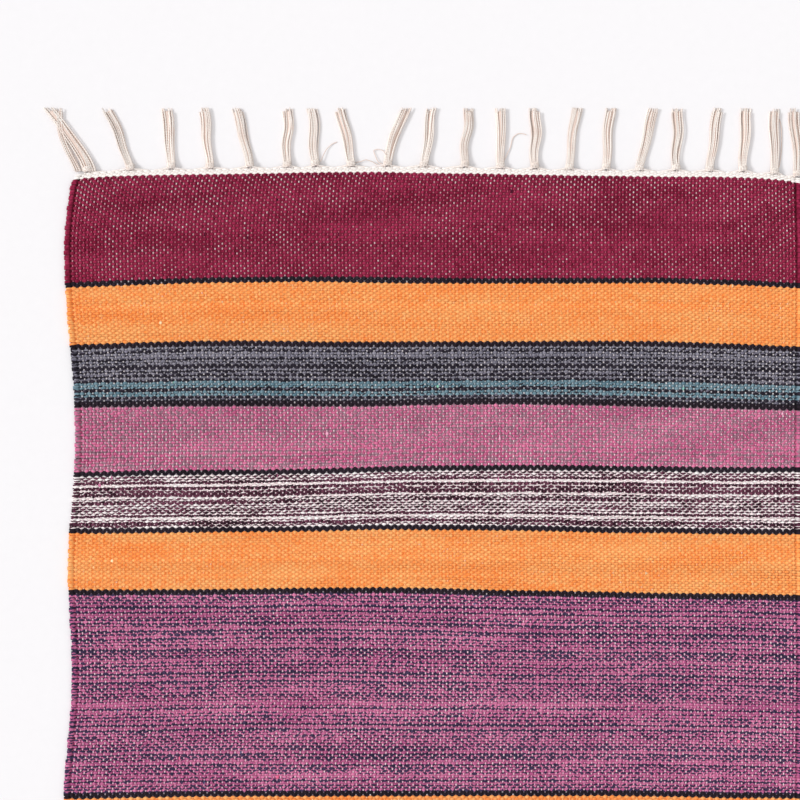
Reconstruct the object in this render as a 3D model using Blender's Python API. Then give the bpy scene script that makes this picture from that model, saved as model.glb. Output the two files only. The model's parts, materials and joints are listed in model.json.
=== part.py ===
"""Runner rug: a flat-woven field in coloured bands, corded edges and knotted tassels at both ends.

Frame: metres, +Z up, X across the rug, Y along it with the north end at +Y.
The origin is on the floor, under the middle of the rug.
"""

import math

import bmesh
import bpy

MM = 0.001
GAP = 0.3 * MM

# The woven field, across and through.
WIDTH = 700 * MM
THICKNESS = 3.2 * MM
SELVEDGE_RADIUS = 1.6 * MM
SELVEDGE_SIDES = 6

# The bands of weft, from one end of the rug to the other.
HEADING = 5 * MM
HEADING_THICKNESS = 2 * MM
CRIMSON_END = 99.3 * MM
CRIMSON_MIDDLE = 188 * MM
PURPLE = 188 * MM
PIN_LINE = 4.9 * MM
ORANGE = 56 * MM
SLATE = 51.5 * MM
MAUVE = 58.8 * MM
MELANGE = 51.7 * MM
STRIPES = 6 * PIN_LINE + ORANGE + SLATE + MAUVE + MELANGE + ORANGE
BANDS = (
    ("band_crimson_north", CRIMSON_END),
    ("stripes_north_outer", STRIPES),
    ("band_purple_north", PURPLE),
    ("stripes_north_inner", STRIPES),
    ("band_crimson_middle", CRIMSON_MIDDLE),
    ("stripes_south_inner", STRIPES),
    ("band_purple_south", PURPLE),
    ("stripes_south_outer", STRIPES),
    ("band_crimson_south", CRIMSON_END),
)
WOVEN_LENGTH = 2 * HEADING + sum(length for _, length in BANDS)

# How the hand-woven edges wander: (distance from the north edge, how far the edge lies inside
# the straight one). The edge runs smoothly from each turning point to the next.
WEST_EDGE = (
    (0, 0.5 * MM),
    (70 * MM, -4.5 * MM),
    (255 * MM, 6 * MM),
    (385 * MM, -1 * MM),
    (480 * MM, 3 * MM),
    (610 * MM, -5 * MM),
    (800 * MM, 2.5 * MM),
    (WOVEN_LENGTH / 2, 0),
)
EAST_EDGE = (
    (0, -1 * MM),
    (90 * MM, -2.5 * MM),
    (300 * MM, -1 * MM),
    (470 * MM, -3 * MM),
    (690 * MM, -1 * MM),
    (860 * MM, -2.5 * MM),
    (WOVEN_LENGTH / 2, 0),
)
# The ends bow outwards in the middle, and the corners are drawn in.
BOW = 4 * MM
CORNER_PULL = 5 * MM
CORNER_SHARPNESS = 14
CORNER_REACH = 60 * MM
RIPPLE = 0.9 * MM
RIPPLE_LENGTH = 410 * MM
RIPPLE_START = 0.4
# How the weft leans: (distance from the north edge, how far the east end of that line lies south).
LEANS = (
    (0, 1.8 * MM),
    (105 * MM, 0.6 * MM),
    (227 * MM, 0.3 * MM),
    (295 * MM, -3 * MM),
    (355 * MM, 0.8 * MM),
    (420 * MM, 3.4 * MM),
    (613 * MM, -0.3 * MM),
    (WOVEN_LENGTH / 2, 0),
)

# How finely the outlines are drawn: the columns lie closer together towards the corners.
COLUMNS = 24
ROWS = 76

# The tassels of one end: (knot's distance from the west corner, sideways lean of the tips).
TASSELS = (
    (18 * MM, -32 * MM),
    (59 * MM, -23 * MM),
    (98 * MM, -5 * MM),
    (135 * MM, -6 * MM),
    (173 * MM, -13 * MM),
    (209 * MM, 0),
    (236 * MM, -4 * MM),
    (270 * MM, -11 * MM),
    (305 * MM, 18 * MM),
    (340 * MM, 8 * MM),
    (379 * MM, 4 * MM),
    (413 * MM, 0),
    (446 * MM, 0),
    (479 * MM, 8 * MM),
    (514 * MM, 5 * MM),
    (546 * MM, 14 * MM),
    (581 * MM, 1 * MM),
    (613 * MM, 9 * MM),
    (645 * MM, 3 * MM),
    (675 * MM, 1 * MM),
    (697 * MM, -3 * MM),
)
# How the lean grows along a tassel: above 1, it leaves its knot straight and then bends.
LEAN_CURVE = 1.3
FRINGE = 58 * MM
KNOT_RADIUS = 3.4 * MM
TASSEL_SIDES = 8
# The strands reach the floor at this share of the tassel's length.
LANDING = 0.25
# The strands below the knot: (share of the tassel's length, half width, half height).
STRANDS = (
    (0.10, 3.0 * MM, 1.7 * MM),
    (0.25, 3.7 * MM, 1.6 * MM),
    (0.50, 4.2 * MM, 1.5 * MM),
    (0.75, 4.6 * MM, 1.4 * MM),
    (1.00, 5.0 * MM, 1.3 * MM),
)
# Where the rings of the knot lie on its ball, from the side that faces the rug.
KNOT_RINGS_DEG = (-72, -40, -8, 24, 50)

# Display colours of the yarns, red, green and blue from 0 to 255.
COTTON = (232, 220, 205)
CRIMSON = (134, 40, 70)
PURPLE_YARN = (144, 86, 122)
STRIPED = (190, 130, 105)
EDGE_YARN = (110, 60, 75)


def linear(channel):
    """A display colour's channel, from 0 to 255, as the linear value that a shader takes."""
    value = channel / 255
    return value / 12.92 if value <= 0.04045 else ((value + 0.055) / 1.055) ** 2.4


def yarn_material(name, colour, roughness=0.92):
    """Matt yarn of one display colour."""
    material = bpy.data.materials.new(name)
    material.use_nodes = True
    shader = material.node_tree.nodes["Principled BSDF"]
    shader.inputs["Base Color"].default_value = (*map(linear, colour), 1)
    shader.inputs["Roughness"].default_value = roughness
    shader.inputs["Metallic"].default_value = 0
    return material


def along(turns, place):
    """The value at a place between turning points, easing from each to the next."""
    for (start, low), (end, high) in zip(turns, turns[1:]):
        if place <= end:
            share = (place - start) / (end - start)
            return low + (high - low) * (1 - math.cos(math.pi * share)) / 2
    return turns[-1][1]


def west(south):
    """X of the west edge at a distance from the north edge. The south half is the north one turned."""
    if south <= WOVEN_LENGTH / 2:
        return -WIDTH / 2 + along(WEST_EDGE, south)
    return -WIDTH / 2 + along(EAST_EDGE, WOVEN_LENGTH - south)


def east(south):
    """X of the east edge, which is the west edge turned half round."""
    return -west(WOVEN_LENGTH - south)


def drift(across, south):
    """How far north of its straight line the weft lies at x = across. It is straight half way along."""
    if south > WOVEN_LENGTH / 2:
        return -drift(-across, WOVEN_LENGTH - south)
    side = abs(2 * across / WIDTH)
    fade = 1 - (2 * south / WOVEN_LENGTH) ** 2
    pull = CORNER_PULL * side**CORNER_SHARPNESS * math.exp(-south / CORNER_REACH)
    turns = across / RIPPLE_LENGTH + south / RIPPLE_LENGTH + RIPPLE_START
    lean = along(LEANS, south) * 2 * across / WIDTH
    return fade * (RIPPLE * math.sin(2 * math.pi * turns) - BOW * side**2 - pull) - lean


def weft_point(across, south):
    """(x, y) of a point on the weft line that starts this far south of the north edge."""
    return across, WOVEN_LENGTH / 2 - south + drift(across, south)


def between(start, end, marks):
    """Start, end and the marks that lie well between them. Neighbouring pieces share their marks."""
    return [start, *(mark for mark in marks if start + MM < mark < end - MM), end]


def columns(low, high):
    marks = [-WIDTH / 2 * math.cos(math.pi * step / COLUMNS) for step in range(COLUMNS + 1)]
    return between(low, high, marks)


def rows(start, end):
    return between(start, end, [WOVEN_LENGTH * step / ROWS for step in range(ROWS + 1)])


def make_object(name, mesh_tool, material, location=(0, 0, 0), turn=0):
    """An object from a finished bmesh, with its origin at location and turned about Z."""
    bmesh.ops.recalc_face_normals(mesh_tool, faces=mesh_tool.faces)
    mesh = bpy.data.meshes.new(name)
    mesh_tool.to_mesh(mesh)
    mesh_tool.free()
    mesh.materials.append(material)
    made = bpy.data.objects.new(name, mesh)
    made.location = location
    made.rotation_euler.z = turn
    bpy.context.scene.collection.objects.link(made)
    return made


def slab(name, start, end, thickness, inset, material):
    """A flat woven piece between two weft lines, its sides an inset inside the rug's edges."""
    sides = rows(start, end)[1:-1]
    north = [(x, start) for x in columns(west(start) + inset, east(start) - inset)]
    down = [(east(south) - inset, south) for south in sides]
    back = [(x, end) for x in reversed(columns(west(end) + inset, east(end) - inset))]
    up = [(west(south) + inset, south) for south in reversed(sides)]
    outline = [weft_point(x, south) for x, south in north + down + back + up]
    tool = bmesh.new()
    bottom = tool.faces.new([tool.verts.new((x, y, 0)) for x, y in outline])
    top = bmesh.ops.extrude_face_region(tool, geom=[bottom])
    raised = [item for item in top["geom"] if isinstance(item, bmesh.types.BMVert)]
    bmesh.ops.translate(tool, verts=raised, vec=(0, 0, thickness))
    return make_object(name, tool, material)


def loft(rings):
    """A closed bmesh through rings of points, with a flat cap at each end."""
    tool = bmesh.new()
    loops = [[tool.verts.new(point) for point in ring] for ring in rings]
    for loop, following in zip(loops, loops[1:]):
        for side, corner in enumerate(loop):
            after = (side + 1) % len(loop)
            tool.faces.new((corner, loop[after], following[after], following[side]))
    tool.faces.new(loops[0])
    tool.faces.new(loops[-1])
    return tool


def shade_round(made):
    made.data.shade_smooth()
    made.data.set_sharp_from_angle(angle=math.radians(60))


def selvedge(name, edge, inward, material):
    """The corded edge on one side: a six-sided cord that follows the edge between the headings."""
    rings = []
    for south in rows(HEADING + GAP, WOVEN_LENGTH - HEADING - GAP):
        middle = edge(south) + inward * SELVEDGE_RADIUS
        x, y = weft_point(middle, south)
        ring = []
        for step in range(SELVEDGE_SIDES):
            angle = math.pi / 2 + 2 * math.pi * step / SELVEDGE_SIDES
            height = SELVEDGE_RADIUS * (1 + math.sin(angle))
            ring.append((x + SELVEDGE_RADIUS * math.cos(angle), y, height))
        rings.append(ring)
    shade_round(make_object(name, loft(rings), material))


def tassel(name, location, turn, reach, lean, material):
    """A knot and the bundle of strands below it. Its origin, and the joint, are at the knot."""
    rings = []
    for degrees in KNOT_RINGS_DEG:
        angle = math.radians(degrees)
        round_here = KNOT_RADIUS * math.cos(angle)
        rings.append((KNOT_RADIUS * math.sin(angle), round_here, round_here, 0, 0))
    for share, half_width, half_height in STRANDS:
        drop = (half_height - KNOT_RADIUS) * min(1, share / LANDING)
        rings.append((reach * share, half_width, half_height, lean * share**LEAN_CURVE, drop))
    points = []
    for out, half_width, half_height, aside, height in rings:
        ring = []
        for step in range(TASSEL_SIDES):
            angle = 2 * math.pi * step / TASSEL_SIDES
            x = aside + half_width * math.cos(angle)
            ring.append((x, out, height + half_height * math.sin(angle)))
        points.append(ring)
    shade_round(make_object(name, loft(points), material, location, turn))


def fringe(end, turn, material):
    """The tassels of one end, numbered from its own west corner."""
    for number, (place, lean) in enumerate(TASSELS, start=1):
        across = -WIDTH / 2 + place
        x, edge = weft_point(across, 0)
        y = edge + GAP + KNOT_RADIUS
        reach = WOVEN_LENGTH / 2 + FRINGE - y
        sign = math.cos(turn)
        location = (x * sign, y * sign, KNOT_RADIUS)
        tassel(f"tassel_{end}_{number:02d}", location, turn, reach, lean, material)


def build():
    for old in list(bpy.data.objects):
        bpy.data.objects.remove(old, do_unlink=True)
    cotton = yarn_material("cotton", COTTON)
    edge_yarn = yarn_material("edge_yarn", EDGE_YARN)
    colours = {
        "band_crimson": yarn_material("crimson", CRIMSON),
        "band_purple": yarn_material("purple", PURPLE_YARN),
        "stripes": yarn_material("striped", STRIPED),
    }
    south = HEADING + GAP / 2
    slab("heading_north", 0, HEADING - GAP / 2, HEADING_THICKNESS, 0, cotton)
    inset = 2 * SELVEDGE_RADIUS + GAP
    for name, length in BANDS:
        material = next(colours[key] for key in colours if name.startswith(key))
        slab(name, south, south + length - GAP, THICKNESS, inset, material)
        south += length
    end = WOVEN_LENGTH
    slab("heading_south", end - HEADING + GAP / 2, end, HEADING_THICKNESS, 0, cotton)
    selvedge("selvedge_west", west, 1, edge_yarn)
    selvedge("selvedge_east", east, -1, edge_yarn)
    fringe("north", 0, cotton)
    fringe("south", math.pi, cotton)


build()
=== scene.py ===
"""Looks of the runner rug: each weft pick, warp thread and tassel strand is a yarn of its own.

The weave is one grid. A row is a pick of weft, counted from the north end, and a column is a warp
thread, counted from the west edge. At each crossing one of the two lies on top, like a chess board.
Lengths are in millimetres until a mesh is made, which is in metres like the frame.
"""

import json
import math

import bpy
import numpy as np
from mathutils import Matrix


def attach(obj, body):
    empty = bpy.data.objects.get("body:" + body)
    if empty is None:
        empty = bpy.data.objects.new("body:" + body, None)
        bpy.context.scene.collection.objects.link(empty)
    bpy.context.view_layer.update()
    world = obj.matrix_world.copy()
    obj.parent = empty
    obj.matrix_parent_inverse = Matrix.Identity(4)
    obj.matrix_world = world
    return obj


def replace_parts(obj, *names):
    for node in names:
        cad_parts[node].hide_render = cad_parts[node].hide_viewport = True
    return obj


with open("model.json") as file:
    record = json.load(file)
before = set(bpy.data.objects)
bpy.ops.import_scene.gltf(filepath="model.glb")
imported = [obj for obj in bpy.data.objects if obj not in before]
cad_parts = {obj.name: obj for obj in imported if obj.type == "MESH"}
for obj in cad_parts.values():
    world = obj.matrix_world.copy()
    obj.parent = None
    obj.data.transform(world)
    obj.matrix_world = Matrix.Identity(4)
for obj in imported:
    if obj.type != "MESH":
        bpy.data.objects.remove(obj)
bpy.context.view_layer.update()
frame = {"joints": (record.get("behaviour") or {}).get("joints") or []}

MM = 0.001

# The woven field and its bands, as in the CAD model.
WIDTH = 700
HEADING = 5
CRIMSON_END = 99.3
CRIMSON_MIDDLE = 188
PURPLE = 188
PIN_LINE = 4.9
ORANGE = 56
SLATE = 51.5
MAUVE = 58.8
MELANGE = 51.7

# One band of weft: (name, length, yarns of its picks from north to south, how much warp shows).
# Each letter is one pick; the yarns are made in YARNS.
PIN = ("pin", PIN_LINE, "k" * 2, 0.3)
STRIPE_GROUP = (
    PIN,
    ("orange_a", ORANGE, "o" * 26, 0.1),
    PIN,
    ("slate", SLATE, "gsggsggssggsgstttsttss", 0.5),
    PIN,
    ("mauve", MAUVE, "m" * 24, 0.5),
    PIN,
    ("melange", MELANGE, "w" * 22, 0.3),
    PIN,
    ("orange_b", ORANGE, "o" * 26, 0.1),
    PIN,
)
CRIMSON_SHOWING = 0.45
PURPLE_SHOWING = 0.5

# The outline of the cloth, as in the CAD model: (distance from the north edge, how far inside).
WEST_EDGE = ((0, 0.5), (70, -4.5), (255, 6), (385, -1), (480, 3), (610, -5), (800, 2.5), (993.1, 0))
EAST_EDGE = ((0, -1), (90, -2.5), (300, -1), (470, -3), (690, -1), (860, -2.5), (993.1, 0))
BOW = 4
CORNER_PULL = 5
CORNER_SHARPNESS = 14
CORNER_REACH = 60
RIPPLE = 0.9
RIPPLE_LENGTH = 410
RIPPLE_START = 0.4
# How the weft leans: (distance from the north edge, how far the east end of that line lies south).
LEANS = ((0, 1.8), (105, 0.6), (227, 0.3), (295, -3), (355, 0.8), (420, 3.4), (613, -0.3), (993.1, 0))
# One corner of each end is drawn in a little more by the tight heading.
TUCK = 8
TUCK_REACH = 7

# The weave.
WARPS = 203
WARP_CROWDING = 0.03  # the columns lie a little wider apart in the west than in the east
RIB = 6.3  # from the edge to the first column: the corded rib and its groove
MIDDLE_Z = 1.6
WARPS_PER_PIECE = 29

# The fringe, as in the CAD model: (knot's distance from the west corner, lean of the tips).
TASSELS = (
    (18, -32), (59, -23), (98, -5), (135, -6), (173, -13), (209, 0), (236, -4),
    (270, -11), (305, 18), (340, 8), (379, 4), (413, 0), (446, 0), (479, 8),
    (514, 5), (546, 14), (581, 1), (613, 9), (645, 3), (675, 1), (697, -3),
)
LEAN_CURVE = 1.3
FRINGE = 58
KNOT_HEIGHT = 3.4


# ---------------------------------------------------------------- the order of the picks


def stripe_group(side, mirrored):
    """The bands of one stripe group, which runs the other way round south of a wide band."""
    bands = []
    for number, (name, length, yarns, showing) in enumerate(STRIPE_GROUP):
        unique = f"{name}_{number // 2 + 1}" if name == "pin" else name
        bands.append((f"weft_{side}_{unique}", length, yarns, showing))
    if mirrored:
        bands = [(name, length, yarns[::-1], showing) for name, length, yarns, showing in bands[::-1]]
    return bands


def halves(name, length, yarn, picks, showing):
    """A wide band as two pieces of cloth, so that no mesh is too heavy."""
    return [
        (f"{name}_a", length / 2, yarn * (picks // 2), showing),
        (f"{name}_b", length / 2, yarn * (picks - picks // 2), showing),
    ]


BANDS = [
    ("heading_weft_north", HEADING, "c" * 4, 0.1),
    ("weft_crimson_north", CRIMSON_END, "r" * 41, CRIMSON_SHOWING),
    *stripe_group("north_outer", False),
    *halves("weft_purple_north", PURPLE, "p", 74, PURPLE_SHOWING),
    *stripe_group("north_inner", True),
    *halves("weft_crimson_middle", CRIMSON_MIDDLE, "r", 76, CRIMSON_SHOWING),
    *stripe_group("south_inner", False),
    *halves("weft_purple_south", PURPLE, "p", 74, PURPLE_SHOWING),
    *stripe_group("south_outer", True),
    ("weft_crimson_south", CRIMSON_END, "r" * 41, CRIMSON_SHOWING),
    ("heading_weft_south", HEADING, "c" * 4, 0.1),
]
LENGTH = sum(band[1] for band in BANDS)


def row_table():
    """For each pick: its band, distance from the north edge, pitch, yarn and how much warp shows."""
    table = []
    start = 0
    for number, (_, length, yarns, showing) in enumerate(BANDS):
        pitch = length / len(yarns)
        for place, yarn in enumerate(yarns):
            table.append((number, start + (place + 0.5) * pitch, pitch, yarn, showing))
        start += length
    return table


ROWS = row_table()
SOUTH = np.array([row[1] for row in ROWS])
PITCH = np.array([row[2] for row in ROWS])
SHOWING = np.array([row[4] for row in ROWS])


# ---------------------------------------------------------------- the grid of crossings


def patches(x, y, seed):
    """Smooth random values from -1 to 1 over the plane, with patches one unit across."""
    table = np.random.default_rng(seed).uniform(-1, 1, (128, 128))
    column, row = np.floor(x).astype(int), np.floor(y).astype(int)
    east, south = x - column, y - row
    east, south = east * east * (3 - 2 * east), south * south * (3 - 2 * south)
    corners = [[table[(row + j) % 128, (column + i) % 128] for i in (0, 1)] for j in (0, 1)]
    north = corners[0][0] * (1 - east) + corners[0][1] * east
    return north * (1 - south) + (corners[1][0] * (1 - east) + corners[1][1] * east) * south


def along(turns, place):
    """The value at each place on a smooth line from turning point to turning point."""
    places, values = np.array(turns, float).T
    index = np.clip(np.searchsorted(places, place) - 1, 0, len(places) - 2)
    share = np.clip((place - places[index]) / (places[index + 1] - places[index]), 0, 1)
    return values[index] + (values[index + 1] - values[index]) * (1 - np.cos(math.pi * share)) / 2


def west(south):
    """Where the west edge lies, at a distance from the north edge."""
    first = -WIDTH / 2 + along(WEST_EDGE, np.minimum(south, LENGTH / 2))
    last = -WIDTH / 2 + along(EAST_EDGE, np.minimum(LENGTH - south, LENGTH / 2))
    return np.where(south <= LENGTH / 2, first, last) + TUCK * np.exp(-south / TUCK_REACH)


def east(south):
    """Where the east edge lies: the cloth is the same when it is turned end for end."""
    return -west(LENGTH - south)


def drift(across, south):
    """How far north the cloth lies of where a perfectly straight weft would put it."""
    turned = south > LENGTH / 2
    across = np.where(turned, -across, across)
    south = np.where(turned, LENGTH - south, south)
    side = np.abs(2 * across / WIDTH)
    fade = 1 - (2 * south / LENGTH) ** 2
    pull = CORNER_PULL * side**CORNER_SHARPNESS * np.exp(-south / CORNER_REACH)
    turns = across / RIPPLE_LENGTH + south / RIPPLE_LENGTH + RIPPLE_START
    lean = along(LEANS, south) * 2 * across / WIDTH
    found = fade * (RIPPLE * np.sin(2 * math.pi * turns) - BOW * side**2 - pull) - lean
    return np.where(turned, -found, found)


def weft_y(across, south):
    """The y of points on the cloth, with the small unevenness of a hand's beat."""
    beat = 0.45 * patches(across / 55, south / 14, 3) + 0.2 * patches(across / 16, south / 5, 4)
    inner = np.clip(np.minimum(south, LENGTH - south) / 6, 0, 1)
    return LENGTH / 2 - south + drift(across, south) + beat * inner


def crossing_grid():
    """The x and y of each crossing, and how much of the warp shows there, from 0 to 1."""
    place = (np.arange(WARPS) + 0.5) / WARPS
    place = place + WARP_CROWDING * place * (1 - place)
    south = SOUTH[:, None] + 0 * place[None, :]
    left, right = west(south) + RIB, east(south) - RIB
    x = left + place[None, :] * (right - left)
    x = x + 0.5 * patches(x / 45, south / 60, 5) * np.minimum(1, 4 * place * (1 - place))[None, :]
    y = weft_y(x, south)
    cloudy = 0.17 * patches(x / 34, south / 26, 6) + 0.2 * patches(x / 9, south / 11, 7)
    chance = np.random.default_rng(8).normal(0, 0.2, x.shape)
    ends = 0.3 * np.exp(-np.minimum(south, LENGTH - south) / 14)
    return x, y, np.clip(SHOWING[:, None] + ends + cloudy + chance, 0, 1)


GRID_X, GRID_Y, BARE = crossing_grid()
# Where little of it is bare, the warp thread also lies lower.
RAISED = np.clip(0.45 + 0.7 * BARE, 0, 1)


# ---------------------------------------------------------------- yarns as meshes


class Yarns:
    """A batch of closed tubes that become one mesh."""

    def __init__(self, ring):
        self.ring = np.array(ring, float)
        self.points = []
        self.sizes = []
        self.values = {}
        self.kinds = []

    def add(self, path, side, half_width, half_height, kind=0, **values):
        """A tube along the path. Side is across it; sizes and values are one number or one a point."""
        path = np.asarray(path, float)
        count = len(path)
        direction = np.gradient(path, axis=0)
        side = np.broadcast_to(np.asarray(side, float), path.shape)
        normal = np.cross(direction, side)
        normal /= np.linalg.norm(normal, axis=1, keepdims=True)
        side = np.cross(normal, direction)
        side /= np.linalg.norm(side, axis=1, keepdims=True)
        wide = np.broadcast_to(half_width, count)[:, None, None] * self.ring[None, :, :1]
        high = np.broadcast_to(half_height, count)[:, None, None] * self.ring[None, :, 1:]
        around = path[:, None] + side[:, None] * wide + normal[:, None] * high
        self.points.append(around.reshape(-1, 3))
        self.sizes.append(count)
        self.kinds.append(kind)
        sides = len(self.ring)
        values["across"] = np.tile(self.ring[:, 0], count)
        for name, value in values.items():
            value = np.asarray(value, float)
            if value.ndim == 0 or len(value) == count:
                value = np.repeat(np.broadcast_to(value, count), sides)
            self.values.setdefault(name, []).append(value)

    def object(self, name, materials):
        """The batch as one mesh object, with its values as attributes of the points."""
        sides = len(self.ring)
        around = np.arange(sides)
        quads, caps, quad_kinds = [], [], []
        start = 0
        for count, kind in zip(self.sizes, self.kinds):
            rings = start + np.arange(count - 1)[:, None] * sides
            here, there = rings + around, rings + (around + 1) % sides
            quads.append(np.stack([here, there, there + sides, here + sides], axis=-1).reshape(-1, 4))
            caps.append(start + around[::-1])
            caps.append(start + (count - 1) * sides + around)
            quad_kinds.append(np.full((count - 1) * sides, kind))
            start += count * sides
        quads = np.concatenate(quads)
        caps = np.array(caps)
        points = np.concatenate(self.points) * MM
        corners = np.concatenate([quads.ravel(), caps.ravel()])
        cap_starts = len(quads) * 4 + np.arange(len(caps)) * sides
        starts = np.concatenate([np.arange(len(quads)) * 4, cap_starts])
        kinds = np.concatenate([*quad_kinds, np.repeat(self.kinds, 2)])
        mesh = bpy.data.meshes.new(name)
        mesh.vertices.add(len(points))
        mesh.vertices.foreach_set("co", points.astype(np.float32).ravel())
        mesh.loops.add(len(corners))
        mesh.loops.foreach_set("vertex_index", corners.astype(np.int32))
        mesh.polygons.add(len(starts))
        mesh.polygons.foreach_set("loop_start", starts.astype(np.int32))
        mesh.polygons.foreach_set("material_index", kinds.astype(np.int32))
        mesh.polygons.foreach_set("use_smooth", np.ones(len(starts), bool))
        mesh.update(calc_edges=True)
        for key, value in self.values.items():
            attribute = mesh.attributes.new(key, "FLOAT", "POINT")
            attribute.data.foreach_set("value", np.concatenate(value).astype(np.float32))
        for material in materials:
            mesh.materials.append(material)
        piece = bpy.data.objects.new(name, mesh)
        bpy.context.scene.collection.objects.link(piece)
        return piece


def ring(sides, start=0.0):
    """A round section with the given number of sides."""
    turn = start + 2 * math.pi * np.arange(sides) / sides
    return np.stack([np.cos(turn), np.sin(turn)], axis=1)


# A beaten pick: flat on top, with sides that slope down under its neighbours.
PICK_RING = ((1, -0.5), (0.66, 0.85), (-0.66, 0.85), (-1, -0.5))


# ---------------------------------------------------------------- materials


def linear(red, green, blue):
    """A display colour, from 0 to 255, as the linear colour that a shader takes."""
    shares = [channel / 255 for channel in (red, green, blue)]
    return [s / 12.92 if s <= 0.04045 else ((s + 0.055) / 1.055) ** 2.4 for s in shares] + [1]


class Shading:
    """A material's node tree, with short names for the nodes it is made of."""

    def __init__(self, name):
        self.material = bpy.data.materials.new(name)
        self.material.use_nodes = True
        self.tree = self.material.node_tree
        self.shader = self.tree.nodes["Principled BSDF"]

    def add(self, kind, inputs, output=0, **settings):
        node = self.tree.nodes.new(kind)
        for key, value in settings.items():
            setattr(node, key, value)
        for key, value in inputs.items():
            if isinstance(value, bpy.types.NodeSocket):
                self.tree.links.new(value, node.inputs[key])
            else:
                node.inputs[key].default_value = value
        return node.outputs[output]

    def math(self, operation, first, second=0.0):
        return self.add("ShaderNodeMath", {0: first, 1: second}, operation=operation)

    def attribute(self, name):
        return self.add("ShaderNodeAttribute", {}, "Fac", attribute_name=name)

    def place(self):
        return self.add("ShaderNodeTexCoord", {}, "Object")

    def stretched(self, vector, scale):
        return self.add("ShaderNodeMapping", {"Vector": vector, "Scale": scale})

    def noise(self, vector, detail=2.0):
        return self.add("ShaderNodeTexNoise", {"Vector": vector, "Scale": 1.0, "Detail": detail})

    def spread(self, value, low, high, to_low=0.0, to_high=1.0):
        """The value's range from low to high, spread over another range."""
        return self.add("ShaderNodeMapRange", {0: value, 1: low, 2: high, 3: to_low, 4: to_high})

    def mix(self, share, first, second, blend="MIX"):
        inputs = {0: share, 6: first, 7: second}
        return self.add("ShaderNodeMix", inputs, 2, data_type="RGBA", blend_type=blend)

    def finish(self, colour, roughness, height, depth, sheen):
        """Colour, roughness and bump from nodes; what is the same all over is the shader's own."""
        bump = self.add("ShaderNodeBump", {"Height": height, "Strength": 1.0, "Distance": depth * MM})
        self.tree.links.new(colour, self.shader.inputs["Base Color"])
        self.tree.links.new(roughness, self.shader.inputs["Roughness"])
        self.tree.links.new(bump, self.shader.inputs["Normal"])
        self.shader.inputs["Specular IOR Level"].default_value = 0.12
        self.shader.inputs["Sheen Weight"].default_value = sheen
        self.shader.inputs["Sheen Roughness"].default_value = 0.5
        return self.material


def weft_material(name, main, pale, second=None, share=0.5, wander=0.5, run=60.0, flecks=(),
                  gap_and_dip_shade=0.5, uneven=0.45, short=0.5):
    """Weft yarn: mottled between two close colours, with a second strand beside it if one is given.

    share is how much of the yarn the second strand covers, wander how far that changes along a
    pick, and run how often, per metre. relief is how much painted shade darkens and deepens the
    colour between the rows and where the yarn goes down. uneven is how far one pick's share differs
    from the next one's, and short how far it changes within one float.
    """
    s = Shading(name)
    place = s.place()
    seed = s.attribute("seed")
    across = s.attribute("across")
    east_west = s.add("ShaderNodeSeparateXYZ", {0: place})
    lane = s.add("ShaderNodeCombineXYZ", {0: east_west, 1: seed})
    mottle = s.noise(s.stretched(lane, (360, 31, 1)))
    slow = s.noise(s.stretched(place, (9, 45, 1)))
    shade = s.math("ADD", s.spread(mottle, 0.3, 0.7, -0.7, 0.7), s.spread(slow, 0.3, 0.7, 0.1, 0.9))
    colour = s.mix(shade, linear(*main), linear(*pale))
    if second:
        long_run = s.spread(s.noise(s.stretched(lane, (run, 23, 1))), 0.3, 0.7, -wander, wander)
        short_run = s.spread(s.noise(s.stretched(lane, (300, 37, 1)), 1.0), 0.3, 0.7, -short, short)
        balance = s.spread(s.attribute("balance"), 0.0, 1.0, uneven, -uneven)
        runs = s.math("ADD", long_run, short_run)
        edge = s.math("ADD", runs, s.math("ADD", balance, 1.0 - 2.0 * share))
        beside = s.math("SUBTRACT", s.math("MULTIPLY", across, s.attribute("swap")), edge)
        strand = s.mix(shade, linear(*second[0]), linear(*second[1]))
        colour = s.mix(s.spread(beside, -0.08, 0.08), colour, strand)
    for number, fleck in enumerate(flecks):
        spot = s.noise(s.stretched(lane, (170, 57 + 12 * number, 1)), 0.0)
        colour = s.mix(s.spread(spot, 0.86, 0.89), colour, linear(*fleck))
    fibres = s.noise(s.stretched(place, (600, 3800, 3800)), 3.0)
    # Painted shade: the colour is made darker and deeper along the sides of each pick and where it goes
    # down under a warp, as if shaded there.
    low = s.math("SUBTRACT", 1.0, s.attribute("crest"))
    painted_shade_mask = s.math("MAXIMUM", s.spread(s.math("ABSOLUTE", across), 0.6, 1.1), low)
    colour = s.mix(s.math("MULTIPLY", painted_shade_mask, gap_and_dip_shade), colour, s.mix(1.0, colour, colour, "MULTIPLY"))
    lit = s.math("MULTIPLY", s.attribute("tone"), s.spread(fibres, 0.3, 0.7, 0.88, 1.12))
    lit = s.math("MULTIPLY", lit, s.spread(painted_shade_mask, 0.0, 1.0, 1.0, 1.0 - 0.6 * gap_and_dip_shade))
    grey = s.add("ShaderNodeCombineColor", {0: lit, 1: lit, 2: lit})
    colour = s.mix(1.0, colour, grey, "MULTIPLY")
    roughness = s.spread(fibres, 0.3, 0.7, 0.82, 0.98)
    return s.finish(colour, roughness, fibres, 0.12, 0.04)


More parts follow.
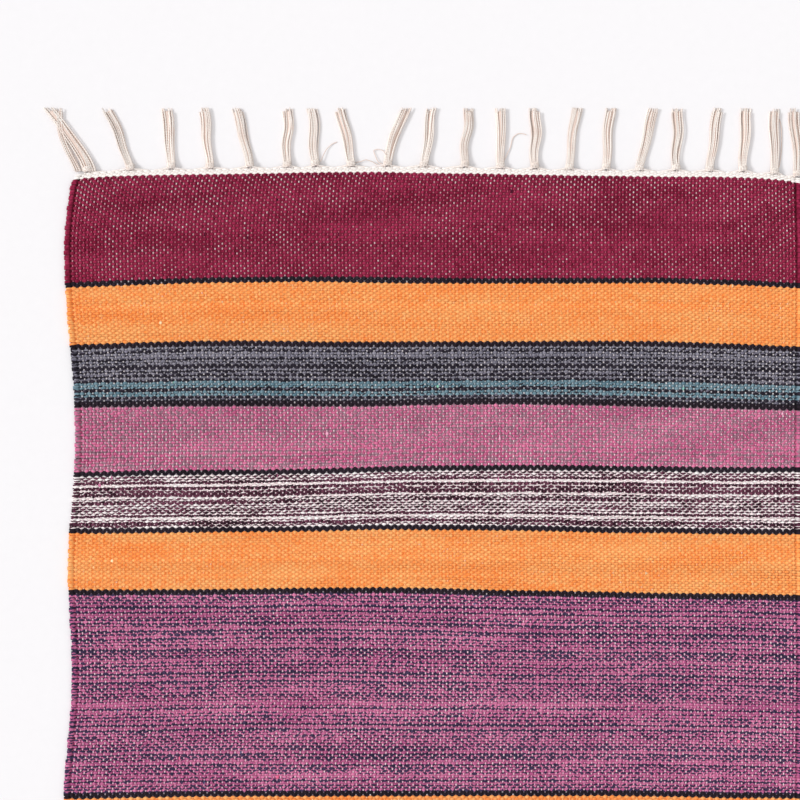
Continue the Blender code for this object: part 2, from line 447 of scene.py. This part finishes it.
def cotton_material(name, main, stain_and_shade_colour, sheen=0.2):
    """Undyed cotton: pale yarn, pale brown where it is stained, and painted shade in pale brown along
    its sides and where it is shaded.
    """
    s = Shading(name)
    place = s.place()
    stains = s.noise(s.stretched(place, (60, 60, 60)))
    fibres = s.noise(s.stretched(place, (1500, 900, 1500)), 3.0)
    # Painted shade along each yarn's sides and wherever the shaded value is set; the stains are real.
    side = s.spread(s.math("ABSOLUTE", s.attribute("across")), 0.4, 1.0)
    stain_and_shade = s.math("MAXIMUM", s.spread(stains, 0.5, 0.8, 0.0, 0.6), side)
    stain_and_shade = s.math("MAXIMUM", stain_and_shade, s.attribute("shaded"))
    colour = s.mix(stain_and_shade, linear(*main), linear(*stain_and_shade_colour))
    tone = s.math("MULTIPLY", s.attribute("tone"), s.spread(fibres, 0.3, 0.7, 0.92, 1.08))
    grey = s.add("ShaderNodeCombineColor", {0: tone, 1: tone, 2: tone})
    colour = s.mix(1.0, colour, grey, "MULTIPLY")
    return s.finish(colour, s.spread(fibres, 0.3, 0.7, 0.85, 0.98), fibres, 0.12, sheen)


def warp_material():
    """Cotton warp that has taken up fluff and colour from the weft beside it."""
    s = Shading("warp_cotton")
    fibres = s.noise(s.stretched(s.place(), (1800, 700, 1800)), 3.0)
    channels = {number: s.attribute(name) for number, name in enumerate(("red", "green", "blue"))}
    cotton = s.add("ShaderNodeCombineColor", channels)
    lit = s.spread(fibres, 0.3, 0.7, 0.9, 1.1)
    grey = s.add("ShaderNodeCombineColor", {0: lit, 1: lit, 2: lit})
    colour = s.mix(1.0, cotton, grey, "MULTIPLY")
    return s.finish(colour, s.spread(fibres, 0.3, 0.7, 0.85, 0.98), fibres, 0.1, 0.15)


def floor_material():
    """Smooth pale paper-like floor."""
    s = Shading("pale_floor")
    grain = s.noise(s.stretched(s.place(), (120, 120, 120)))
    colour = s.mix(grain, linear(243, 241, 243), linear(246, 244, 246))
    return s.finish(colour, s.spread(grain, 0.3, 0.7, 0.7, 0.8), grain, 0.02, 0.0)


NAVY = ((46, 38, 66), (74, 60, 92))
CHARCOAL = ((28, 24, 34), (50, 45, 56))
PINKISH_WHITE = ((255, 240, 240), (255, 251, 250))
GREY = ((108, 104, 120), (134, 130, 144))
DULL_MAUVE = ((146, 104, 122), (170, 130, 146))
YARNS = {
    "c": cotton_material("cotton_weft", (255, 250, 246), (248, 238, 232)),
    "r": weft_material("crimson_yarn", (122, 18, 50), (162, 44, 80),
                       flecks=((190, 84, 106), (76, 14, 40)), gap_and_dip_shade=0.6),
    "k": weft_material("black_yarn", (28, 20, 28), (46, 36, 46), flecks=((120, 88, 130),)),
    "o": weft_material("orange_yarn", (253, 148, 74), (255, 182, 112),
                       flecks=((255, 222, 176), (236, 130, 66)), gap_and_dip_shade=0.2),
    "g": weft_material("grey_yarn", (110, 108, 122), (148, 144, 156), CHARCOAL, 0.36, 0.5, short=0.7),
    "s": weft_material("slate_yarn", (30, 26, 36), (54, 48, 60), GREY, 0.24, 0.5, short=0.7),
    "t": weft_material("teal_yarn", (94, 124, 138), (128, 154, 166), CHARCOAL, 0.3, 0.4,
                       flecks=((240, 150, 120), (150, 220, 190)), short=0.7),
    "m": weft_material("mauve_yarn", (194, 90, 134), (224, 126, 164), DULL_MAUVE, 0.45, 0.25, 150.0,
                       flecks=((246, 180, 208),), gap_and_dip_shade=0.4, uneven=0.1, short=1.0),
    "w": weft_material("melange_yarn", (44, 18, 30), (116, 64, 86), PINKISH_WHITE, 0.33, 0.45, 30.0,
                       flecks=((206, 120, 160),), gap_and_dip_shade=0.4, short=0.4),
    "p": weft_material("purple_yarn", (172, 82, 130), (216, 126, 166), NAVY, 0.45, 0.38, 22.0,
                       flecks=((236, 110, 150), (100, 116, 156)), gap_and_dip_shade=0.4, uneven=0.34, short=0.7),
}
# The colour that each weft yarn leaves on the warp beside it.
STAINS = {
    "c": (255, 246, 240),
    "r": (200, 96, 122),
    "k": (112, 98, 112),
    "o": (255, 186, 118),
    "g": (190, 184, 192),
    "s": (172, 166, 174),
    "t": (180, 194, 200),
    "m": (238, 178, 202),
    "w": (240, 210, 218),
    "p": (236, 178, 206),
}
BARE_COTTON = (255, 246, 246)
CLEANEST = 0.66  # how far the barest warp is free of the stain
WARP_COTTON = warp_material()
TASSEL_COTTON = cotton_material("tassel_cotton", (255, 249, 243), (232, 204, 190))
EDGE_CORD = weft_material("edge_cord_yarn", (70, 34, 48), (96, 48, 64))


# ---------------------------------------------------------------- the weft

# A pick turns round the edge cord: (distance inwards from the edge, height, half thickness).
TURN = ((2.6, 0.5, 0.4), (1.1, 0.6, 0.45), (0.4, 1.45, 0.5), (0.8, 2.35, 0.5), (1.9, 2.85, 0.5),
        (4.1, 2.6, 0.5), (5.5, 1.2, 0.5))
# How lit the colour at each of those points is painted: the last point, in the groove inside the rib,
# gets painted shade.
TURN_CREST = (1, 1, 1, 1, 1, 0.9, 0.25)
# From the middle of a float, in columns: where its shoulders are, and where it goes down.
FLOAT_REACH = 0.25
FLOAT_END = 0.56
# Half widths of a pick, in pitches: on its floats, with more where the warps beside them lie low,
# where it meets another yarn and where it is soft; at the ends of its floats; and under a warp.
FLOAT_COVER = 0.68
COVER_BY_LOW_WARPS = 0.16
COVER_BY_OTHER_YARN = 0.09
COVER_IF_SOFT = 0.17
END_COVER = 0.5
END_COVER_IF_SOFT = 0.75
DIP_COVER = 0.36
DIP_COVER_IF_SOFT = 0.7
TURN_COVER = 0.6


def weft_turn(row, side):
    """One pick's turn round the edge, from below the cord to the groove inside it."""
    pair = (row + (side > 0)) // 2
    rng = np.random.default_rng([pair, int(side > 0), 11])
    bulge = rng.uniform(-0.6, 0.7)
    twin = 1 if (row + (side > 0)) % 2 == 0 else -1
    edge = west(SOUTH[row]) if side < 0 else east(SOUTH[row])
    inwards, height, thick = np.array(TURN).T
    x = edge - side * (inwards - bulge * np.clip(1 - inwards / 4, 0, 1))
    closer = 0.2 * PITCH[row] * twin * np.clip(1 - inwards / 5, 0, 1)
    y = weft_y(x, SOUTH[row] + closer)
    return np.stack([x, y, height], axis=1), thick


def pick(batch, row, kind):
    """One pick: up over every other warp thread, down under the rest, and round both edges."""
    under = (np.arange(WARPS) + row) % 2 == 0
    neighbours = [r for r in (row - 1, row + 1) if 0 <= r < len(ROWS)]
    pits = RAISED[neighbours].mean(axis=0)
    pitch_x = np.gradient(GRID_X[row])
    points, wide, high, crest = [], [], [], []

    def stations(chosen, offset, height, half_width, half_height, light):
        """One point of the pick near each chosen column."""
        x = GRID_X[row, chosen] + offset * pitch_x[chosen]
        points.append(np.stack([x, GRID_Y[row, chosen], np.broadcast_to(height, len(x))], axis=1))
        wide.append(np.broadcast_to(half_width, len(x)) * PITCH[row])
        high.append(np.full(len(x), half_height))
        crest.append(np.full(len(x), light))

    # Its floats bulge over another yarn's, and cotton picks are soft enough to close up.
    beside_other = any(ROWS[r][3] != ROWS[row][3] for r in neighbours)
    soft = ROWS[row][3] == "c"
    more = COVER_IF_SOFT if soft else COVER_BY_OTHER_YARN if beside_other else 0
    cover = FLOAT_COVER + COVER_BY_LOW_WARPS * (1 - pits[~under]) + more
    # The last number of a station is how lit a dyed yarn's colour is painted: full on the floats,
    # painted shade at their ends and more in the dips.
    for offset in (-FLOAT_REACH, FLOAT_REACH):
        stations(~under, offset, MIDDLE_Z + 0.5, cover, 0.7, 1.0)
    for offset in (-FLOAT_END, FLOAT_END):
        stations(~under, offset, MIDDLE_Z, END_COVER_IF_SOFT if soft else END_COVER, 0.6, 0.5)
    depth = MIDDLE_Z - 0.35 - 0.4 * RAISED[row, under]
    stations(under, 0.0, depth, DIP_COVER_IF_SOFT if soft else DIP_COVER, 0.6, 0.0)
    points, wide, high, crest = (np.concatenate(part) for part in (points, wide, high, crest))
    order = np.argsort(points[:, 0])
    left, left_thick = weft_turn(row, -1)
    right, right_thick = weft_turn(row, 1)
    path = np.concatenate([left, points[order], right[::-1]])
    turn_wide = np.full(len(left), TURN_COVER * PITCH[row])
    wide = np.concatenate([turn_wide, wide[order], turn_wide])
    high = np.concatenate([left_thick, high[order], right_thick[::-1]])
    turn_crest = np.array(TURN_CREST)
    # Near the ends of the rug the groove gets deeper painted shade.
    turn_crest[-1] -= 0.8 * math.exp(-min(SOUTH[row], LENGTH - SOUTH[row]) / 70)
    crest = np.concatenate([turn_crest, crest[order], turn_crest[::-1]])
    rng = np.random.default_rng([row, 12])
    batch.add(path, (0, 1, 0), wide, high, kind, crest=crest, seed=rng.uniform(0, 40),
              tone=rng.normal(1, 0.04), balance=rng.uniform(0, 1),
              swap=rng.choice((-1, 1), p=(0.25, 0.75)))


def weft_pieces():
    """Each band of weft as a piece, in its own yarns."""
    pieces = {}
    for number, (name, _, yarns, _) in enumerate(BANDS):
        kinds = sorted(set(yarns))
        batch = Yarns(PICK_RING)
        for row, (band, _, _, yarn, _) in enumerate(ROWS):
            if band == number:
                pick(batch, row, kinds.index(yarn))
        piece = batch.object(name, [YARNS[kind] for kind in kinds])
        pieces[name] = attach(piece, "rug")
    return pieces


# ---------------------------------------------------------------- the warp

WARP_HALF_SIZE = (0.85, 0.55)
WARP_UNDER = 0.85  # height of a warp thread's middle below a pick
WARP_OVER = 1.3  # and above one, where it is hardly bare
WARP_RISE = 1.05  # and how much higher where it is quite bare
CORD_TURN = 14  # length of one turn of the two edge cords
CORD_INSET = 2.1
CORD_SWAY = (0.55, 0.5)  # sideways and up
CORD_RADIUS = 0.7


def knot_points(end):
    """The knots of one end, from west to east, in millimetres, with their joints' bodies."""
    found = [j for j in frame["joints"] if j["child"].startswith(f"tassel_{end}_")]
    found.sort(key=lambda joint: joint["pos_m"][0])
    return [(np.array(joint["pos_m"]) / MM, joint["child"]) for joint in found]


KNOTS = {end: knot_points(end) for end in ("north", "south")}


def fan(column, end):
    """The end of a warp thread: out of the heading and sideways along its edge into a knot."""
    row = 0 if end == "north" else len(ROWS) - 1
    out = 1 if end == "north" else -1
    start = np.array([GRID_X[row, column], GRID_Y[row, column], 1.6])
    places = np.array([knot[0] for knot, _ in KNOTS[end]])
    knot = KNOTS[end][int(np.argmin(np.abs(places - start[0])))][0]
    rng = np.random.default_rng([column, out + 1, 13])
    side = start[0] - knot[0]
    reach = min(abs(side) / 18, 1)
    goal = knot + (np.clip(side, -1.6, 1.6), -1.2 * out, rng.uniform(-1.2, 0.6))
    handles = (
        start + (0, 0.9 * out, rng.uniform(-0.4, 0.6)),
        goal
        + (side * 0.45, out * (-1.6 - 0.5 * reach + rng.uniform(-0.5, 0.5)), rng.uniform(-1.0, 0.0)),
    )
    t = np.linspace(0, 1, 9)[1:, None]
    first_half = (1 - t) ** 3 * start + 3 * (1 - t) ** 2 * t * handles[0]
    return first_half + 3 * (1 - t) * t**2 * handles[1] + t**3 * goal


def warp_colours(column):
    """The linear colour of one warp thread at each row, stained by the weft where it is hardly bare."""
    stained = np.array([linear(*STAINS[row[3]])[:3] for row in ROWS])
    clean = CLEANEST * np.clip(1.35 * BARE[:, column] - 0.35, 0, 1)[:, None] ** 1.5
    return stained + clean * (np.array(linear(*BARE_COTTON)[:3]) - stained)


def warp_pieces():
    """The warp threads, in groups of neighbours, from the knots of one end to those of the other."""
    pieces = []
    rows = np.arange(len(ROWS))
    for first in range(0, WARPS, WARPS_PER_PIECE):
        batch = Yarns(ring(3, math.pi / 2))
        for column in range(first, min(first + WARPS_PER_PIECE, WARPS)):
            over = (column + rows) % 2 == 0
            height = np.where(over, WARP_OVER + WARP_RISE * RAISED[:, column], WARP_UNDER)
            woven = np.stack([GRID_X[:, column], GRID_Y[:, column], height], axis=1)
            path = np.concatenate([fan(column, "north")[::-1], woven, fan(column, "south")])
            colours = warp_colours(column)
            ends = len(path) - len(colours)
            colours = np.pad(colours, ((ends // 2, ends - ends // 2), (0, 0)), mode="edge")
            red, green, blue = colours.T
            batch.add(path, (1, 0, 0), *WARP_HALF_SIZE, red=red, green=green, blue=blue)
        piece = batch.object(f"warp_{first // WARPS_PER_PIECE + 1}", [WARP_COTTON])
        pieces.append(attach(piece, "rug"))
    return pieces


def edge_cord(name, side):
    """The two edge cords of one selvedge, twisted together inside the turns of the weft."""
    south = np.linspace(HEADING, LENGTH - HEADING, 620)
    edge = west(south) if side < 0 else east(south)
    batch = Yarns(ring(5))
    for phase in (0, math.pi):
        turn = 2 * math.pi * south / CORD_TURN + phase
        x = edge - side * (CORD_INSET + CORD_SWAY[0] * np.cos(turn))
        path = np.stack([x, weft_y(x, south), 1.5 + CORD_SWAY[1] * np.sin(turn)], axis=1)
        batch.add(path, (1, 0, 0), CORD_RADIUS, CORD_RADIUS, seed=phase, tone=1.0, crest=1.0)
    piece = batch.object(name, [EDGE_CORD])
    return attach(piece, "rug")


# ---------------------------------------------------------------- the tassels

STRAND = 0.78  # half the thickness of a two-ply strand
# The bundles of each tassel: (number of strands, half width at the knot, half width at the tip, and
# how far it lies from the tassel's middle at the knot, half way and at the tip). Most have one.
BUNDLES = {0: ((7, 2.8, 3.4, (-9, -18, 5)), (13, 6.2, 4.4, (1.5, -0.5, -6)))}
ONE_BUNDLE = ((13, 3.3, 4.6, (0, 0, 0)),)
# Stray threads of single tassels: points measured from the knot, (east, outwards, up).
STRAYS = {
    6: (((2, 0, 2), (5.4, 2.7, 2.4), (8, 9, 2), (10.8, 14.2, 1.4), (16, 19, 0.8), (20.7, 20.8, 0.6)),),
    8: (
        ((-3, -3, 3), (-9, -2, 3), (-14.2, 1.2, 3), (-20.5, 3.6, 2), (-25.2, 1.7, 2), (-30.5, 0.8, 1.5)),
        ((-3, -2, 3), (-9, 0.8, 2), (-11.9, 7.9, 1.2), (-13.5, 12.5, 1), (-9, 13.7, 2), (-4, 11.8, 4),
         (-1.5, 8, 4)),
    ),
    11: (((2, 1, 3), (6.3, 10.3, 1.2), (9.8, 17, 0.8), (11.7, 26.6, 0.8), (16.8, 30.4, 0.8),
          (21.6, 30.4, 0.8), (25, 29, 1)),),
    19: (((3, 1, 2), (5, 4, 1.5), (6.9, 16, 0.8), (7.6, 30, 0.8), (7.3, 41, 0.8), (5.4, 49.5, 0.8)),),
}
PLY_TURN = 5.0  # length of one turn of the plies
KNOT_LANES = (-2.1, -0.8, 0.5, 1.8)  # where the turns of a knot lie, from the cloth outwards
KNOT_HALF_WIDTH = 3.9
KNOT_HALF_HEIGHT = 2.2


def strand(batch, path, tone, phase=0.0):
    """A two-ply strand along the path: two thinner yarns that wind round each other."""
    steps = np.linalg.norm(np.diff(path, axis=0), axis=1)
    length = np.concatenate([[0], np.cumsum(steps)])
    fine = np.arange(0, length[-1], PLY_TURN / 4)
    path = np.stack([np.interp(fine, length, path[:, axis]) for axis in range(3)], axis=1)
    direction = np.gradient(path, axis=0)
    direction /= np.linalg.norm(direction, axis=1, keepdims=True)
    side = np.cross((0, 0, 1), direction)
    side /= np.maximum(np.linalg.norm(side, axis=1, keepdims=True), 1e-6)
    up = np.cross(direction, side)
    for half in (0, math.pi):
        turn = (2 * math.pi * fine / PLY_TURN + phase + half)[:, None]
        wound = path + STRAND * 0.45 * (np.cos(turn) * side + np.sin(turn) * up)
        batch.add(wound, side, STRAND * 0.6, STRAND * 0.6, tone=tone, shaded=0.0)


def eased(share):
    """A share from 0 to 1 that starts and ends gently."""
    share = np.clip(share, 0, 1)
    return share * share * (3 - 2 * share)


def bundle(batch, place_of, rng, tip_y, middle, numbers):
    """One bundle of strands, round a core of the strands that lie inside it."""
    count, near, far, (at_knot, half_way, at_tip) = numbers
    share = np.linspace(0, 1, 18)
    settle = eased(share / 0.22)
    middle = middle + (1 - share) ** 2 * at_knot + 2 * share * (1 - share) * half_way + share**2 * at_tip
    reach = near + (far - near) * eased(share / 0.8)
    along_y = tip_y * share - 1.8 * (1 - share)
    core = np.stack([middle, along_y, 2.6 * (1 - settle) + 1.25 * settle], axis=1)
    batch.add(place_of(core[:-1]), (1, 0, 0), 0.85 * reach[:-1], 1.15, tone=0.96, shaded=0.7)
    lower = (count + 1) // 2
    places = [(place, 0) for place in np.linspace(-1, 1, lower)]
    places += [(place, 1) for place in np.linspace(-0.85, 0.85, count - lower) + rng.uniform(-0.1, 0.1)]
    for place, layer in places:
        cross = rng.normal(0, 0.3) * share
        stray = rng.normal(0, 0.5) * np.sin(math.pi * share)
        z = (2.4 + 1.6 * layer) * (1 - settle) + (0.95 + 1.5 * layer) * settle
        x = middle + reach * np.clip(place + cross, -1.05, 1.05) + stray
        path = np.stack([x, along_y, z], axis=1)
        last = rng.integers(17, 19)
        strand(batch, place_of(path[:last]), rng.normal(0.96, 0.075), rng.uniform(0, 6))


def knot_turns(batch, place_of, rng, lean):
    """The turns of strands that make the knot."""
    for lane in KNOT_LANES:
        turn = np.linspace(-0.7, math.pi + 0.7, 22)
        swell = 1 - 0.035 * lane**2
        y = lane + 0.5 * np.sin(turn) * lean + 0.5 * np.cos(turn)
        x = KNOT_HALF_WIDTH * swell * np.cos(turn)
        z = KNOT_HEIGHT + KNOT_HALF_HEIGHT * swell * np.sin(turn)
        path = np.stack([x, y, z], axis=1)
        strand(batch, place_of(path), rng.normal(1, 0.03), rng.uniform(0, 6))


def tassel(end, number):
    """One tassel: its strands run through the knot and lie on the floor, spreading to their tips."""
    knot, body = KNOTS[end][number if end == "north" else len(TASSELS) - 1 - number]
    out = 1 if end == "north" else -1
    rng = np.random.default_rng([number, out + 1, 15])
    batch = Yarns(ring(4))
    tip_y = LENGTH / 2 + FRINGE - out * knot[1]
    share = np.linspace(0, 1, 18)
    wave, turns, begin = rng.uniform(0.6, 2.4), rng.uniform(0.5, 1.1), rng.uniform(0, 1)
    middle = TASSELS[number][1] * share**LEAN_CURVE
    middle = middle + wave * np.sin(2 * math.pi * (turns * share + begin)) * np.sin(math.pi * share)

    def place_of(path):
        """A path measured from the knot and outwards, at its own end of the rug."""
        return path * (out, out, 1) + (knot[0], knot[1], 0)

    for numbers in BUNDLES.get(number, ONE_BUNDLE):
        bundle(batch, place_of, rng, tip_y, middle, numbers)
    knot_turns(batch, place_of, rng, np.sign(0.5 - number % 2))
    for turns_of_stray in STRAYS.get(number, ()):
        stray = np.array(turns_of_stray, float)
        place = np.linspace(0, len(stray) - 1, 40)
        turning_points = range(len(stray))
        bent = np.stack([np.interp(place, turning_points, stray[:, axis]) for axis in range(3)], axis=1)
        for _ in range(3):
            bent[1:-1] = (bent[:-2] + 2 * bent[1:-1] + bent[2:]) / 4
        batch.add(place_of(bent), (0, 0, 1), 0.42, 0.42, tone=0.92, shaded=0.5)
    piece = batch.object(f"fringe_{end}_{number + 1:02d}", [TASSEL_COTTON])
    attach(piece, body)
    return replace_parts(piece, body)


# ---------------------------------------------------------------- floor, light and camera


FLOOR_REACH = 90  # in metres, from the middle to each side
SKY_STRENGTH = 0.76
SUN_STRENGTH = 1.75
SUN_SPREAD = 14
SUN_TILT = -56
SUN_TURN = -8


def floor():
    """A plain floor, wide enough for every view."""
    corners = [(FLOOR_REACH * x, FLOOR_REACH * y, 0) for x, y in ((-1, -1), (1, -1), (1, 1), (-1, 1))]
    mesh = bpy.data.meshes.new("floor")
    mesh.from_pydata(corners, [], [(0, 1, 2, 3)])
    mesh.materials.append(floor_material())
    plane = bpy.data.objects.new("floor", mesh)
    bpy.context.scene.collection.objects.link(plane)


def studio():
    """White surroundings and one broad soft light from the west, so that the shade of each bump falls to
    the east.
    """
    world = bpy.data.worlds.new("studio")
    world.use_nodes = True
    world.node_tree.nodes["Background"].inputs["Color"].default_value = (1, 1, 1, 1)
    world.node_tree.nodes["Background"].inputs["Strength"].default_value = SKY_STRENGTH
    bpy.context.scene.world = world
    light = bpy.data.lights.new("soft_key", "SUN")
    light.energy = SUN_STRENGTH
    light.angle = math.radians(SUN_SPREAD)
    key = bpy.data.objects.new("soft_key", light)
    key.rotation_euler = (0, math.radians(SUN_TILT), math.radians(SUN_TURN))
    bpy.context.scene.collection.objects.link(key)
    bpy.context.scene.view_settings.view_transform = "Standard"


# The view takes in this stretch of the rug, from straight above.
VIEW_WIDTH = 765
VIEW_WEST = -415.5
VIEW_NORTH = 1153.8
LENS = 85


def camera():
    """Straight down on the north end of the rug."""
    lens = bpy.data.cameras.new("camera")
    lens.lens = LENS
    height = VIEW_WIDTH * LENS / lens.sensor_width
    eye = bpy.data.objects.new("camera", lens)
    middle = (VIEW_WEST + VIEW_WIDTH / 2, VIEW_NORTH - VIEW_WIDTH / 2, height + 2 * MIDDLE_Z)
    eye.location = np.array(middle) * MM
    bpy.context.scene.collection.objects.link(eye)
    bpy.context.scene.camera = eye


# ---------------------------------------------------------------- the whole rug

wefts = weft_pieces()
warps = warp_pieces()
cords = [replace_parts(edge_cord("edge_cord_west", -1), "selvedge_west"),
         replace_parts(edge_cord("edge_cord_east", 1), "selvedge_east")]
tassels = {end: [tassel(end, number) for number in range(len(TASSELS))] for end in KNOTS}

CAD_OF_BAND = {
    "heading_weft_north": "heading_north",
    "heading_weft_south": "heading_south",
    "weft_crimson_north": "band_crimson_north",
    "weft_crimson_south": "band_crimson_south",
    "weft_purple_north_a": "band_purple_north",
    "weft_purple_south_a": "band_purple_south",
    "weft_crimson_middle_a": "band_crimson_middle",
    "weft_north_outer_orange_a": "stripes_north_outer",
    "weft_north_inner_orange_a": "stripes_north_inner",
    "weft_south_inner_orange_a": "stripes_south_inner",
    "weft_south_outer_orange_a": "stripes_south_outer",
}
for band, node in CAD_OF_BAND.items():
    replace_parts(wefts[band], node)


SHORTEST_SHEET = 10


def declare_sheets():
    """For each long enough band, gathers the narrow bands and threads it takes along; nothing more is
    done with them.
    """
    loose = []
    for number, (name, length, _, _) in enumerate(BANDS):
        if length < SHORTEST_SHEET:
            loose.append(wefts[name])
            continue
        going = loose
        loose = []
        if name == "weft_crimson_north":
            going = going + tassels["north"]
        if name == "weft_crimson_middle_a":
            going = going + warps + cords
        if name == "weft_crimson_south":
            going = going + tassels["south"] + [wefts["heading_weft_south"]]


declare_sheets()
floor()
studio()
camera()
